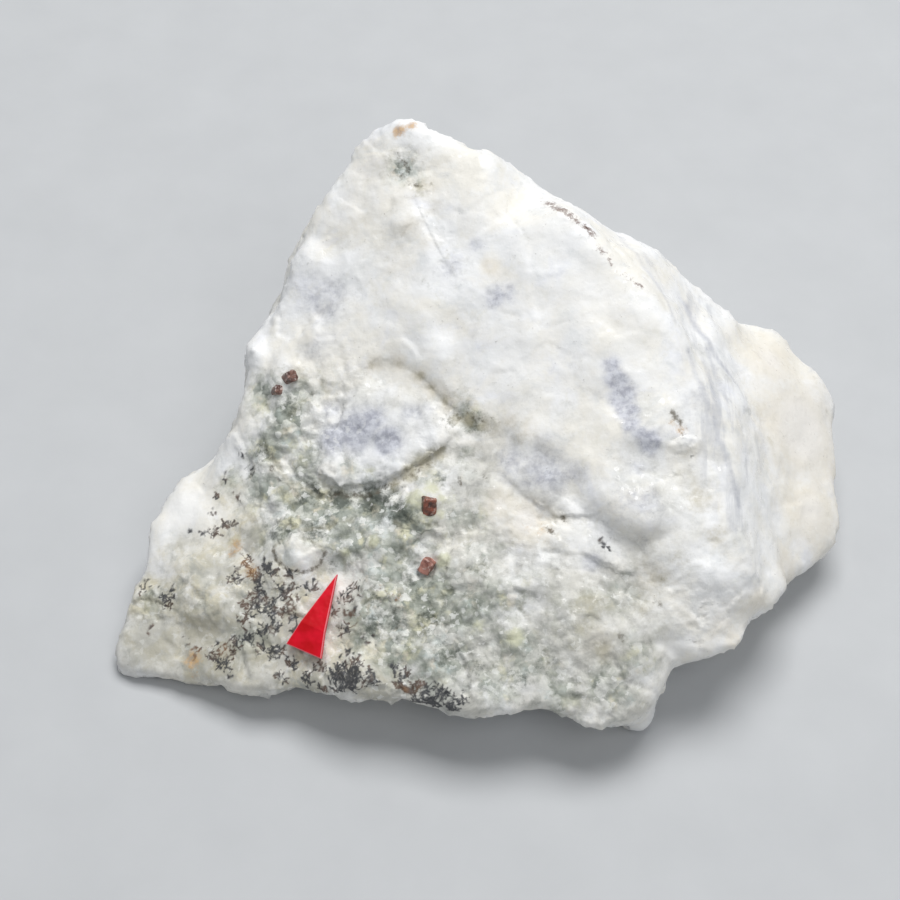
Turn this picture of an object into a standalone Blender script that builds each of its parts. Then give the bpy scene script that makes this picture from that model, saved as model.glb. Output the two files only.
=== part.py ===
"""Tausonite on matrix: a hand specimen of pale broken rock with small red-brown crystals in it.

The matrix is one natural solid. Corner points, given group by group round the stone, lay out its
broken faces; ledges, mounds and a hackly break are carved into them, and it rests on a flat base.
The crystals stand in sockets of the rock, and a small creased red marker lies on it beside them.
"""

from math import radians

import bmesh
import bpy
from mathutils import Euler, Vector, noise
from mathutils.bvhtree import BVHTree

# Sizes and places below are in millimetres, x to the right, y away and z up. MM makes them metres.
MM = 0.001

# Corners of the matrix. A crest runs from the top down the right side of the broad front face.
HEART = Vector((2.0, 0.0, 8.0))
CREST = [
    (-3.4, 19.2, 25.2), (2.3, 16.4, 24.4), (8.3, 11.4, 23.1), (11.0, 8.4, 22.0), (13.8, 5.6, 20.6),
    (16.2, 2.2, 18.6), (18.1, -1.2, 16.5), (19.4, -4.2, 14.4), (20.0, -7.4, 12.6), (20.5, -10.8, 10.4),
]
SKYLINE = [
    (3.7, 18.6, 21.0), (7.0, 16.2, 20.5), (11.9, 13.8, 19.5), (15.1, 13.1, 17.5), (17.3, 12.4, 15.2),
]
LEFT_EDGE = [
    (-5.8, 19.3, 24.0), (-7.6, 18.0, 22.6), (-9.2, 16.1, 20.8), (-10.5, 14.2, 19.2), (-11.3, 12.4, 17.8),
    (-12.0, 10.4, 16.3), (-13.2, 8.9, 14.9), (-14.5, 7.0, 13.3), (-14.9, 4.2, 11.8), (-15.5, 1.6, 10.4),
    (-16.4, 0.2, 9.0),
]
UPPER_FACE = [
    (-1.4, 9.0, 20.2), (4.0, 5.0, 18.9), (10.5, 1.5, 18.1), (-9.0, 8.0, 16.3), (-4.0, 4.0, 16.0),
    (-2.5, 14.0, 22.4), (3.5, 11.0, 21.6), (14.5, -3.5, 15.9), (16.5, -8.5, 12.6), (8.0, 6.0, 20.0),
    (-7.0, 13.0, 20.2),
]
LOWER_FACE = [
    (-12.0, 2.5, 12.1), (-6.5, -0.5, 12.6), (-11.8, -2.0, 10.4), (-7.8, -4.5, 10.5), (0.5, -1.5, 13.7),
    (-2.1, -6.6, 10.6), (-8.4, -8.6, 8.5), (4.5, -5.2, 12.6), (10.8, -4.3, 14.3), (7.6, -9.7, 10.8),
    (13.7, -10.8, 10.8), (0.0, -13.0, 8.4), (8.2, -15.0, 8.4), (14.2, -14.2, 8.8), (-4.8, -14.6, 6.8),
    (3.4, -17.2, 7.0), (10.1, -18.0, 6.8), (17.6, -12.6, 9.2), (12.8, -17.0, 7.2),
]
FOOT = [
    (-17.4, 0.4, 7.9), (-19.9, -0.2, 6.7), (-21.3, -1.1, 5.9), (-22.1, -2.9, 5.1), (-22.0, -5.4, 4.3),
    (-23.3, -7.4, 3.3), (-23.8, -10.3, 2.1), (-24.0, -13.1, 1.0), (-21.3, -14.0, 1.4), (-18.7, -14.9, 1.8),
    (-16.5, -15.3, 2.3), (-14.3, -16.2, 2.7), (-11.8, -16.9, 3.2), (-9.4, -17.5, 3.9),
    (-18.8, -6.0, 5.5), (-17.5, -11.0, 4.2), (-14.8, -8.6, 6.3), (-16.4, -3.0, 7.6), (-12.0, -13.3, 4.9),
    (-21.0, -9.5, 3.9), (-14.6, -12.4, 4.6),
]
FRONT_RIM = [
    (-6.8, -18.2, 4.6), (-4.4, -18.4, 4.8), (-1.4, -19.7, 4.8), (0.8, -20.2, 4.8), (2.9, -19.7, 5.2),
    (4.2, -19.0, 5.6), (6.4, -19.9, 5.3), (8.8, -20.6, 5.1), (11.9, -20.3, 4.8), (13.2, -19.5, 4.8),
]
RIGHT_CORNER = [
    (14.6, -17.8, 5.0), (15.0, -16.3, 5.8), (16.1, -15.8, 6.3), (17.5, -15.7, 6.4), (19.6, -15.8, 6.2),
    (20.6, -14.9, 6.8), (22.3, -12.6, 6.6), (24.2, -9.0, 5.2), (14.2, -18.1, 0.4), (12.9, -18.7, 2.4),
    (14.8, -14.4, 3.4), (16.4, -12.6, 3.4), (19.0, -11.8, 3.6), (21.2, -9.4, 3.2),
]
LOBE = [
    (20.7, 11.0, 12.4), (22.6, 11.6, 11.2), (26.0, 11.5, 9.5), (27.8, 10.6, 8.6), (28.7, 9.7, 7.6),
    (29.8, 8.1, 6.2), (28.9, 4.6, 5.8), (28.9, 0.8, 4.8), (29.3, -2.3, 3.8), (27.1, -5.3, 3.2),
    (24.4, -7.6, 4.4), (19.8, 9.6, 13.4), (21.0, 6.6, 12.8), (22.4, 3.0, 11.2), (23.0, -0.5, 9.6),
    (23.2, -3.9, 8.0), (25.6, 5.3, 9.4), (26.0, 1.2, 7.6), (26.2, -2.9, 5.8), (22.6, -7.6, 8.0),
]
BACK = [
    (-4.5, 21.8, 20.5), (-5.5, 23.5, 12.0), (-12.6, 15.5, 13.0), (-15.0, 11.0, 7.0), (-16.6, 4.0, 6.0),
    (7.0, 20.4, 13.5), (14.0, 18.2, 10.0), (9.0, 22.2, 5.0), (22.4, 13.6, 7.0), (26.0, 12.4, 4.0),
    (0.0, 23.6, 8.0), (-10.0, 20.0, 7.0),
]
# The outline that the stone covers on the ground, and points inside it, a little below its flat base.
BASE_DEPTH = -1.2
BASE = [
    (-23.4, -12.4), (-20.0, -12.8), (-15.0, -12.0), (-8.0, -10.5), (0.0, -10.0), (7.0, -12.5),
    (13.2, -17.4), (13.4, -13.5), (14.2, -9.0), (17.0, -6.0), (21.0, -3.0), (25.0, 0.5), (26.5, 6.0),
    (23.5, 11.5), (9.5, 20.5), (-5.0, 21.5), (-13.5, 10.5), (-15.5, 2.5), (-20.0, -4.0), (-21.8, -8.5),
    (0.0, 0.0), (10.0, 2.0), (-8.0, 2.0), (2.0, 12.0),
]
CAGE_CUTS = 11
SMOOTHING_ROUNDS = 4
SWELL = 0.04

# Ledges of the front face: a line in plan with the low ground on its right, its drop and its reach.
LEDGES = [
    ([(-7.0, 3.4), (-5.6, 3.7), (-3.6, 3.4), (-1.4, 1.7), (-0.2, 0.3), (2.1, -1.3), (4.2, -2.5), (6.6, -3.5),
      (8.7, -4.8)], 0.9, 4.0),
    ([(-9.4, -2.2), (-9.2, -3.2), (-7.8, -4.2), (-6.0, -4.2), (-4.2, -3.9), (-2.7, -3.4), (-0.2, -2.0),
      (1.4, -1.4)], 1.2, 4.5),
    ([(0.0, 8.5), (-1.4, 11.2), (-2.2, 12.9), (-2.8, 14.2)], 0.4, 3.0),
    ([(3.4, -4.1), (4.9, -6.0), (6.3, -7.1), (7.4, -7.7), (8.7, -7.6), (10.4, -7.6), (13.0, -9.1)], 0.8, 3.0),
    ([(17.8, 9.8), (18.0, 4.7), (19.6, 0.2), (19.4, -4.1)], 0.5, 2.5),
    ([(-22.6, -8.5), (-20.4, -9.8), (-18.9, -10.7), (-16.0, -11.4)], 0.5, 3.0),
]
# Round grains that stand proud, and hollows: centre in plan, radius and height.
MOUNDS = [
    ((-8.2, -3.0), 1.6, 0.40), ((-10.5, -8.3), 1.8, 0.45), ((-2.0, -6.2), 1.7, 0.40),
    ((4.4, -15.5), 1.6, 0.35), ((-0.6, -10.0), 0.9, 0.25), ((-5.4, -8.2), 0.9, 0.25),
    ((7.2, -8.0), 1.0, -0.60), ((9.7, -6.5), 3.5, -0.35), ((-3.3, 15.7), 1.4, -0.30),
]
# Stretches that broke smoother than the rest: centre, radius and share of the full roughness.
SMOOTHER = [
    ((1.0, 9.0, 20.0), 13.0, 0.45), ((10.0, 2.0, 18.0), 12.0, 0.50), ((26.0, 3.0, 8.0), 10.0, 0.35),
    ((-19.5, -5.0, 5.0), 6.0, 0.60), ((-6.0, -0.8, 12.5), 4.0, 0.45), ((-9.4, -13.0, 6.0), 4.5, 0.30),
]
CHIPS = [(6.5, 1.7), (2.4, 0.6)]
GRAIN_SIZE = 1.6
GRAIN_HEIGHT = 0.14

CARVED_CELL = 0.40
KEPT_SHARE = 0.105

# Crystals: place in plan, width, how much of it stands proud, and turn in degrees.
CRYSTALS = {
    "tausonite_centre": ((-1.5, -6.3), 1.00, 0.45, (-28, 12, 10)),
    "tausonite_front": ((-1.6, -10.0), 0.85, 0.40, (12, 34, 65)),
    "tausonite_left": ((-11.6, 3.8), 0.80, 0.40, (35, 10, 40)),
    "tausonite_left_small": ((-12.5, 3.1), 0.60, 0.40, (20, 25, 5)),
}
CRYSTAL_CORNER_CUT = 0.22
CRYSTAL_STRETCH = 1.18
SOCKET_GAP = 0.2

MARKER_TIP = (-7.8, -9.9)
MARKER_LEFT = (-11.3, -14.0)
MARKER_RIGHT = (-8.8, -15.4)
MARKER_CREASE = 0.70
MARKER_CREASE_RISE = 0.25
MARKER_THICKNESS = 0.30
MARKER_GAP = 0.20
MARKER_SAMPLES = 12


def clear_scene():
    for old in list(bpy.data.objects):
        bpy.data.objects.remove(old)


def new_collection(name):
    collection = bpy.data.collections.new(name)
    bpy.context.scene.collection.children.link(collection)
    return collection


def finish(name, color, roughness):
    material = bpy.data.materials.new(name)
    material.use_nodes = True
    shader = material.node_tree.nodes["Principled BSDF"]
    shader.inputs["Base Color"].default_value = (*color, 1.0)
    shader.inputs["Roughness"].default_value = roughness
    shader.inputs["Metallic"].default_value = 0.0
    return material


def solid(name, shape, collection, material=None):
    """An object made of a shape that was modelled in millimetres."""
    bmesh.ops.scale(shape, vec=(MM, MM, MM), verts=shape.verts)
    mesh = bpy.data.meshes.new(name)
    shape.to_mesh(mesh)
    shape.free()
    piece = bpy.data.objects.new(name, mesh)
    collection.objects.link(piece)
    if material:
        mesh.materials.append(material)
    return piece


def polyhedron(corners):
    """A closed body with these corners. Drawn in to a ball round the heart, their hull joins them up."""
    shape = bmesh.new()
    place = {}
    for corner in corners:
        vert = shape.verts.new((corner - HEART).normalized())
        place[vert] = corner
    bmesh.ops.convex_hull(shape, input=shape.verts)
    for vert, corner in place.items():
        vert.co = corner
    return shape


def rough_block():
    groups = (CREST, SKYLINE, LEFT_EDGE, UPPER_FACE, LOWER_FACE, FOOT, FRONT_RIM, RIGHT_CORNER, LOBE, BACK)
    corners = [Vector(corner) for group in groups for corner in group]
    corners += [Vector((x, y, BASE_DEPTH)) for x, y in BASE]
    shape = polyhedron(corners)
    bmesh.ops.subdivide_edges(shape, edges=shape.edges, cuts=CAGE_CUTS, use_grid_fill=True)
    for _ in range(SMOOTHING_ROUNDS):
        bmesh.ops.smooth_vert(shape, verts=shape.verts, factor=0.5, use_axis_x=True, use_axis_y=True,
                              use_axis_z=True)
    return shape


def ledge_depth(plan, line, drop, reach):
    """How deep a place lies under a ledge: the full drop just below its lip, and less the further away."""
    ends = Vector(line[0]), Vector(line[-1])
    nearest = reach
    below = False
    for start, end in zip(line, line[1:]):
        start = Vector(start)
        along = Vector(end) - start
        share = min(max((plan - start).dot(along) / along.length_squared, 0.0), 1.0)
        gap = (plan - start - along * share).length
        if gap < nearest:
            nearest = gap
            below = along.cross(plan - start) < 0.0
    if not below:
        return 0.0
    taper = min(1.0, min((plan - end).length for end in ends) / (0.5 * reach))
    return drop * taper * (1.0 - nearest / reach) ** 2


def mound_height(plan, centre, radius, height):
    share = (plan - Vector(centre)).length / radius
    return height * (1.0 - share * share) ** 2 if share < 1.0 else 0.0


def chipped(place, size, tilt):
    """A hackly break: space is parted into cells, and the surface in each cell has a slope of its own."""
    centre = noise.voronoi(place / size)[1][0]
    slope = noise.cell_vector(centre * 9.7) - Vector((0.5, 0.5, 0.5))
    return tilt * slope.dot(place / size - centre)


def roughness(place):
    rough = 1.0
    for centre, radius, there in SMOOTHER:
        share = (place - Vector(centre)).length / radius
        if share < 1.0:
            rough = min(rough, there + (1.0 - there) * share * share)
    return rough


def relief(place, normal):
    rough = sum(chipped(place, size, tilt) for size, tilt in CHIPS)
    rough += GRAIN_HEIGHT * noise.fractal(place / GRAIN_SIZE, 0.8, 2.0, 4)
    height = SWELL + roughness(place) * rough
    if normal.z > 0.2 and place.z > 2.0:
        height -= sum(ledge_depth(place.xy, *ledge) for ledge in LEDGES)
        height += sum(mound_height(place.xy, *mound) for mound in MOUNDS)
    return height


def carve(shape):
    shape.normal_update()
    moves = [vert.normal * relief(vert.co, vert.normal) for vert in shape.verts]
    for vert, move in zip(shape.verts, moves):
        vert.co += move


def thin_out(piece):
    """Rebuild the carved surface as even cells, then keep only the triangles that its shape needs."""
    cells = piece.modifiers.new("even cells", "REMESH")
    cells.mode = "VOXEL"
    cells.voxel_size = CARVED_CELL * MM
    fewer = piece.modifiers.new("fewer faces", "DECIMATE")
    fewer.ratio = KEPT_SHARE
    graph = bpy.context.evaluated_depsgraph_get()
    mesh = bpy.data.meshes.new_from_object(piece.evaluated_get(graph))
    piece.modifiers.clear()
    piece.data = mesh


def flatten_base(piece):
    shape = bmesh.new()
    shape.from_mesh(piece.data)
    everything = shape.verts[:] + shape.edges[:] + shape.faces[:]
    cut = bmesh.ops.bisect_plane(shape, geom=everything, plane_co=(0, 0, 0), plane_no=(0, 0, 1),
                                 clear_inner=True)
    rim = [item for item in cut["geom_cut"] if isinstance(item, bmesh.types.BMEdge)]
    bmesh.ops.holes_fill(shape, edges=rim)
    bmesh.ops.triangulate(shape, faces=shape.faces)
    bmesh.ops.recalc_face_normals(shape, faces=shape.faces)
    shape.to_mesh(piece.data)
    shape.free()


def matrix_stone(collection):
    shape = rough_block()
    carve(shape)
    piece = solid("matrix", shape, collection)
    thin_out(piece)
    flatten_base(piece)
    piece.data.materials.append(finish("pale rock", (0.70, 0.68, 0.61), 0.80))
    return piece


def surface_of(piece):
    """A function that gives the height of the stone's upper surface, in millimetres, at a place in plan."""
    shape = bmesh.new()
    shape.from_mesh(piece.data)
    tree = BVHTree.FromBMesh(shape)
    shape.free()

    def height(x, y):
        above = Vector((x * MM, y * MM, 1.0))
        return tree.ray_cast(above, Vector((0, 0, -1)))[0].z / MM

    return height


def crystal_shape(width):
    """A cube with its corners cut off and a little taller than it is wide, as tausonite grows."""
    shape = bmesh.new()
    bmesh.ops.create_cube(shape, size=width)
    bmesh.ops.bevel(shape, geom=shape.verts, offset=CRYSTAL_CORNER_CUT * width, affect="VERTICES", segments=1,
                    profile=0.5, material=-1)
    bmesh.ops.scale(shape, vec=(1.0, 1.0, CRYSTAL_STRETCH), verts=shape.verts)
    bmesh.ops.triangulate(shape, faces=shape.faces)
    return shape


def crystals(stone, height, collection, cutters):
    """Each crystal stands half sunk in a socket of its own shape, which a larger copy of it cuts."""
    material = finish("red-brown crystal", (0.13, 0.025, 0.012), 0.18)
    pieces = []
    for name, (plan, width, proud, turn) in CRYSTALS.items():
        location = Vector((plan[0], plan[1], height(*plan) + (proud - 0.5) * width)) * MM
        rotation = Euler([radians(angle) for angle in turn])
        crystal = solid(name, crystal_shape(width), collection, material)
        cutter = solid(name + "_socket", crystal_shape(width + 2.0 * SOCKET_GAP), cutters)
        cutter.hide_render = True
        cutter.display_type = "WIRE"
        for piece in (crystal, cutter):
            piece.location = location
            piece.rotation_euler = rotation
            pieces.append(piece)
        socket = stone.modifiers.new(name + " socket", "BOOLEAN")
        socket.operation = "DIFFERENCE"
        socket.object = cutter
    return pieces


def marker(height, collection):
    """A sliver of red plastic, creased across near its wide end, that lies flat on the stone."""
    tip, left, right = [Vector((x, y, height(x, y))) for x, y in (MARKER_TIP, MARKER_LEFT, MARKER_RIGHT)]
    upward = (left - tip).cross(right - tip).normalized()
    lift = 0.0
    for down in range(MARKER_SAMPLES + 1):
        for across in range(down + 1):
            place = tip + ((left - tip) * (down - across) + (right - tip) * across) / MARKER_SAMPLES
            lift = max(lift, height(place.x, place.y) - place.z)
    rise = Vector((0, 0, lift + MARKER_GAP))
    crease = [tip.lerp(end, MARKER_CREASE) + upward * MARKER_CREASE_RISE for end in (left, right)]
    shape = bmesh.new()
    verts = [shape.verts.new(place + rise) for place in (tip, crease[0], crease[1], left, right)]
    shape.faces.new((verts[0], verts[1], verts[2]))
    shape.faces.new((verts[1], verts[3], verts[4], verts[2]))
    piece = solid("marker", shape, collection, finish("red marker", (0.62, 0.004, 0.015), 0.30))
    plate = piece.modifiers.new("thickness", "SOLIDIFY")
    plate.thickness = MARKER_THICKNESS * MM
    plate.offset = 1.0
    return piece


def stand_over_origin(stone, pieces):
    """Bring the middle of the stone's box over the origin, with its base on the ground."""
    corners = [Vector(corner) for corner in stone.bound_box]
    low = Vector([min(corner[axis] for corner in corners) for axis in range(3)])
    high = Vector([max(corner[axis] for corner in corners) for axis in range(3)])
    root = bpy.data.objects.new("tausonite_on_matrix", None)
    root.location = (-(low.x + high.x) / 2, -(low.y + high.y) / 2, 0.0)
    stone.users_collection[0].objects.link(root)
    for piece in pieces:
        piece.parent = root


def main():
    clear_scene()
    specimen = new_collection("tausonite on matrix")
    cutters = new_collection("cutters")
    stone = matrix_stone(specimen)
    height = surface_of(stone)
    pieces = [stone] + crystals(stone, height, specimen, cutters) + [marker(height, specimen)]
    stand_over_origin(stone, pieces)


main()
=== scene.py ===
"""Tausonite on matrix: the finish of a hand specimen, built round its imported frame.

The stone is carved finer than its solid and coloured mineral by mineral, then come its crystals, the
marker that points to them, the table and the light.
"""

import random
from math import cos, radians, sin

import bmesh
import bpy
import numpy as np
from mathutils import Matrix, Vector, noise
from mathutils.bvhtree import BVHTree
from mathutils.kdtree import KDTree


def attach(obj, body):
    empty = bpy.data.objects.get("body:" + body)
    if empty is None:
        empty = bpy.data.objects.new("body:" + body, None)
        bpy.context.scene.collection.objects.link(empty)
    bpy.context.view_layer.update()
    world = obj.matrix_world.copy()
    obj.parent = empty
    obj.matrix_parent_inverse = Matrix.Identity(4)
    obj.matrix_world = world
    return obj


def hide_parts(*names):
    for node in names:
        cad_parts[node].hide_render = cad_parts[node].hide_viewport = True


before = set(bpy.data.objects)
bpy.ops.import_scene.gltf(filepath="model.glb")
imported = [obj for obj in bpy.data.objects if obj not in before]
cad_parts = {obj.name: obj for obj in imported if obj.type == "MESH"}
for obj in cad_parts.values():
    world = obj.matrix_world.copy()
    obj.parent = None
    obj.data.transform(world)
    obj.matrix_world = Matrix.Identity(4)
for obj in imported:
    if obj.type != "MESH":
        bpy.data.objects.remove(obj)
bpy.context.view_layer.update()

MM = 0.001


# The view
# The camera looks down on the broad front face from straight ahead, 15 centimetres away. Places on the
# stone are named below by where they are seen in its picture, and are then found on the stone.

PICTURE = 900
VIEW_TARGET = Vector((-2.8, -1.75, 10.0)) * MM
VIEW_DISTANCE = 150 * MM
VIEW_TILT = radians(48)
LENS = 83.0
SENSOR = 36.0

camera = bpy.data.objects.new("camera", bpy.data.cameras.new("camera"))
camera.data.lens = LENS
camera.data.sensor_width = SENSOR
camera.data.clip_start = MM
camera.location = VIEW_TARGET + Vector((0, -cos(VIEW_TILT), sin(VIEW_TILT))) * VIEW_DISTANCE
camera.rotation_euler = (radians(90) - VIEW_TILT, 0, 0)
bpy.context.scene.collection.objects.link(camera)
bpy.context.scene.camera = camera


def solid_of(node):
    """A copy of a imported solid, with its loose triangles joined up."""
    shape = bmesh.new()
    shape.from_mesh(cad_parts[node].data)
    bmesh.ops.remove_doubles(shape, verts=shape.verts, dist=0.001 * MM)
    shape.normal_update()
    return shape


packed_stone = solid_of("matrix")
packed_surface = BVHTree.FromBMesh(packed_stone)


def seen_at(across, down):
    """The place on the stone, in metres, that the picture shows at these pixels."""
    slope = SENSOR / LENS / PICTURE
    ray = Vector(((across - PICTURE / 2) * slope, (PICTURE / 2 - down) * slope, -1.0))
    ray.rotate(camera.rotation_euler)
    return packed_surface.ray_cast(camera.location, ray.normalized())[0]


# The stone's surface
# The matrix is one broken piece of pale feldspar rock. Its solid is rebuilt in fine cells, closest on
# the face that shows most, and smoothed; then ledges, chips, grains and pits are cut into it.

COARSE_CELL = 0.44 * MM
FIRST_SMOOTHING = 3
FINE_SMOOTHING = 2
# How far a side has to face the camera to get fine cells, and how high above the base they start.
FINE_FACING = 0.1
FINE_LEVEL = 1.0 * MM
# Roughness, from 0 to 1: that of the sides which face away, and that below which the break is calm.
AWAY_ROUGHNESS = 0.8
CALM_ROUGHNESS = 0.3
BASE_LEVEL = 0.02 * MM
CRYSTALS = ("tausonite_centre", "tausonite_front", "tausonite_left", "tausonite_left_small")
PLUG_SWELL = 0.32 * MM
PLUG_SINK = 0.75 * MM
CREASE_DEPTH = 0.07

# Zones, each a list of spots: where it is, its radius in millimetres and its strength. A spot is at two
# pixels of the picture, or at three millimetres on a side that the picture doesn't show.
ROUGH = [
    ((300, 430), 4.5, 1.0), ((300, 500), 4.5, 1.0), ((370, 520), 4.5, 1.0), ((430, 540), 4.5, 0.9),
    ((420, 620), 5.0, 1.0), ((480, 640), 4.5, 0.8), ((440, 440), 3.0, 0.6), ((200, 600), 4.5, 0.45),
    ((260, 620), 4.5, 0.6), ((330, 650), 4.5, 0.6), ((390, 680), 3.5, 0.8), ((560, 640), 4.5, 0.5),
    ((600, 690), 4.0, 0.7), ((520, 560), 4.5, 0.5), ((620, 580), 5.0, 0.4), ((700, 600), 5.0, 0.4),
    ((680, 500), 4.0, 0.25), ((340, 385), 3.0, 0.5), ((550, 520), 2.0, 0.7), ((150, 610), 3.0, 0.5),
    ((405, 165), 1.5, 0.7), ((680, 440), 1.5, 0.5), ((-6, 21, 12), 9.0, 1.0), ((6, 19, 9), 8.0, 1.0),
    ((-16, 11, 7), 8.0, 1.0),
]
SMOOTH = [
    ((620, 240), 5.0, 0.8), ((682, 305), 4.0, 0.8), ((735, 350), 4.0, 0.8), ((545, 205), 4.0, 0.7),
    ((480, 165), 3.0, 0.6), ((800, 420), 7.0, 1.0), ((800, 520), 5.0, 1.0), ((770, 360), 4.0, 1.0),
    ((185, 508), 1.6, 0.8),
]
GREEN = [
    ((403, 168), 1.6, 0.6), ((418, 172), 1.2, 0.5), ((392, 158), 1.0, 0.4), ((465, 460), 1.6, 0.4),
    ((420, 183), 0.9, 0.45), ((470, 520), 2.0, 0.5), ((285, 420), 2.3, 0.9), ((268, 447), 2.2, 0.8),
    ((303, 462), 2.0, 0.7), ((262, 490), 2.2, 0.8), ((300, 500), 2.6, 0.9), ((335, 510), 2.4, 1.0),
    ((375, 505), 2.2, 1.0), ((410, 525), 2.4, 0.9), ((390, 560), 3.0, 0.8), ((425, 600), 3.2, 0.9),
    ((400, 640), 3.0, 0.8), ((440, 660), 3.0, 0.7), ((470, 610), 2.8, 0.7), ((350, 540), 2.4, 0.8),
    ((300, 395), 2.0, 0.6), ((265, 395), 1.8, 0.8), ((500, 680), 2.4, 0.6), ((560, 695), 2.6, 0.6),
    ((610, 690), 2.4, 0.6), ((640, 655), 2.0, 0.5), ((470, 418), 1.6, 0.7), ((430, 475), 2.0, 0.5),
    ((330, 540), 2.0, 0.6), ((510, 600), 2.6, 0.5), ((520, 650), 2.8, 0.6), ((370, 600), 2.4, 0.6),
    ((360, 640), 2.0, 0.6), ((560, 620), 3.0, 0.35), ((230, 480), 1.6, 0.5), ((480, 560), 2.6, 0.45),
    ((150, 600), 1.6, 0.5), ((200, 600), 2.2, 0.35), ((350, 470), 1.4, 0.5), ((275, 540), 2.0, 0.6),
    ((620, 600), 2.5, 0.35), ((330, 375), 2.0, 0.15), ((450, 520), 2.0, 0.45), ((590, 605), 2.0, 0.4),
    ((250, 640), 2.4, 0.4), ((-3, 22, 9), 3.5, 0.9), ((-11, 18, 9), 3.0, 0.8), ((5, 19.5, 7), 3.0, 0.8),
    ((-17, 10, 6), 3.0, 0.9), ((10, 16, 11), 2.5, 0.6), ((-19, 3, 4), 2.5, 0.7),
    ((-6, 21.5, 5), 2.5, 0.7), ((318, 529), 1.6, 0.9), ((286, 528), 1.4, 0.9), ((348, 535), 1.2, 0.6),
    ((372, 612), 2.4, 0.9),
]
DARK_GREEN = [
    ((340, 502), 1.1, 1.0), ((375, 500), 1.5, 1.0), ((400, 512), 1.3, 0.9), ((310, 495), 1.2, 0.7),
    ((290, 405), 1.2, 0.6), ((262, 452), 1.2, 0.6), ((453, 422), 0.9, 0.6), ((475, 422), 0.9, 0.6),
    ((440, 480), 0.8, 0.5), ((412, 580), 1.4, 0.5), ((395, 620), 1.4, 0.6), ((430, 620), 1.5, 0.6),
    ((412, 472), 0.7, 0.45), ((315, 532), 1.0, 0.85), ((374, 597), 1.1, 0.55), ((372, 625), 1.2, 0.75),
    ((332, 566), 0.6, 0.4), ((470, 568), 0.8, 0.35), ((288, 531), 0.9, 0.7), ((445, 655), 1.2, 0.6),
    ((480, 665), 1.0, 0.5), ((280, 530), 1.3, 0.6), ((520, 680), 1.2, 0.5), ((402, 163), 0.5, 0.4),
    ((401, 174), 0.5, 0.35), ((412, 170), 0.6, 0.3), ((395, 488), 0.7, 0.7), ((250, 470), 0.9, 0.6),
    ((545, 665), 1.0, 0.4), ((415, 480), 0.6, 0.6), ((330, 520), 1.2, 0.5), ((-2.5, 22, 8), 1.6, 0.6),
    ((-12, 18, 8), 1.4, 0.6), ((-17.5, 9.5, 6), 1.4, 0.6), ((6, 20, 6), 1.2, 0.5),
]
BLUE = [
    ((358, 432), 1.7, 1.0), ((335, 440), 1.3, 0.9), ((387, 442), 1.3, 1.0), ((372, 420), 1.2, 0.9),
    ((612, 365), 0.8, 0.8), ((617, 380), 1.0, 1.0), ((622, 397), 1.1, 1.0), ((627, 412), 1.0, 1.0),
    ((631, 424), 0.8, 0.9), ((650, 442), 0.9, 1.0), ((640, 434), 0.7, 0.8), ((330, 410), 1.0, 0.5),
    ((496, 296), 1.1, 0.65), ((508, 293), 0.9, 0.55), ((325, 300), 2.2, 0.5), ((318, 270), 1.2, 0.3),
    ((640, 505), 1.8, 0.55), ((545, 470), 2.4, 0.6), ((640, 530), 1.2, 0.35), ((452, 268), 1.2, 0.5),
    ((592, 562), 0.9, 0.5), ((475, 245), 0.8, 0.5), ((315, 345), 1.8, 0.35), ((515, 465), 1.8, 0.5),
    ((572, 470), 1.6, 0.4), ((695, 400), 1.4, 0.4), ((640, 470), 0.9, 0.5), ((350, 345), 1.4, 0.25),
    ((430, 590), 0.8, 0.3), ((470, 560), 0.7, 0.35), ((400, 545), 0.6, 0.3), ((560, 690), 0.8, 0.35),
    ((413, 415), 1.1, 0.45), ((430, 410), 0.9, 0.35), ((460, 690), 0.8, 0.3), ((600, 395), 1.4, 0.2),
    ((480, 330), 1.4, 0.2), ((560, 370), 1.6, 0.2), ((-7, 21, 15), 2.2, 0.6), ((4, 18, 14), 2.2, 0.6),
    ((13, 14.5, 13), 1.8, 0.4), ((-16, 11, 9), 1.8, 0.5),
]
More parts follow.
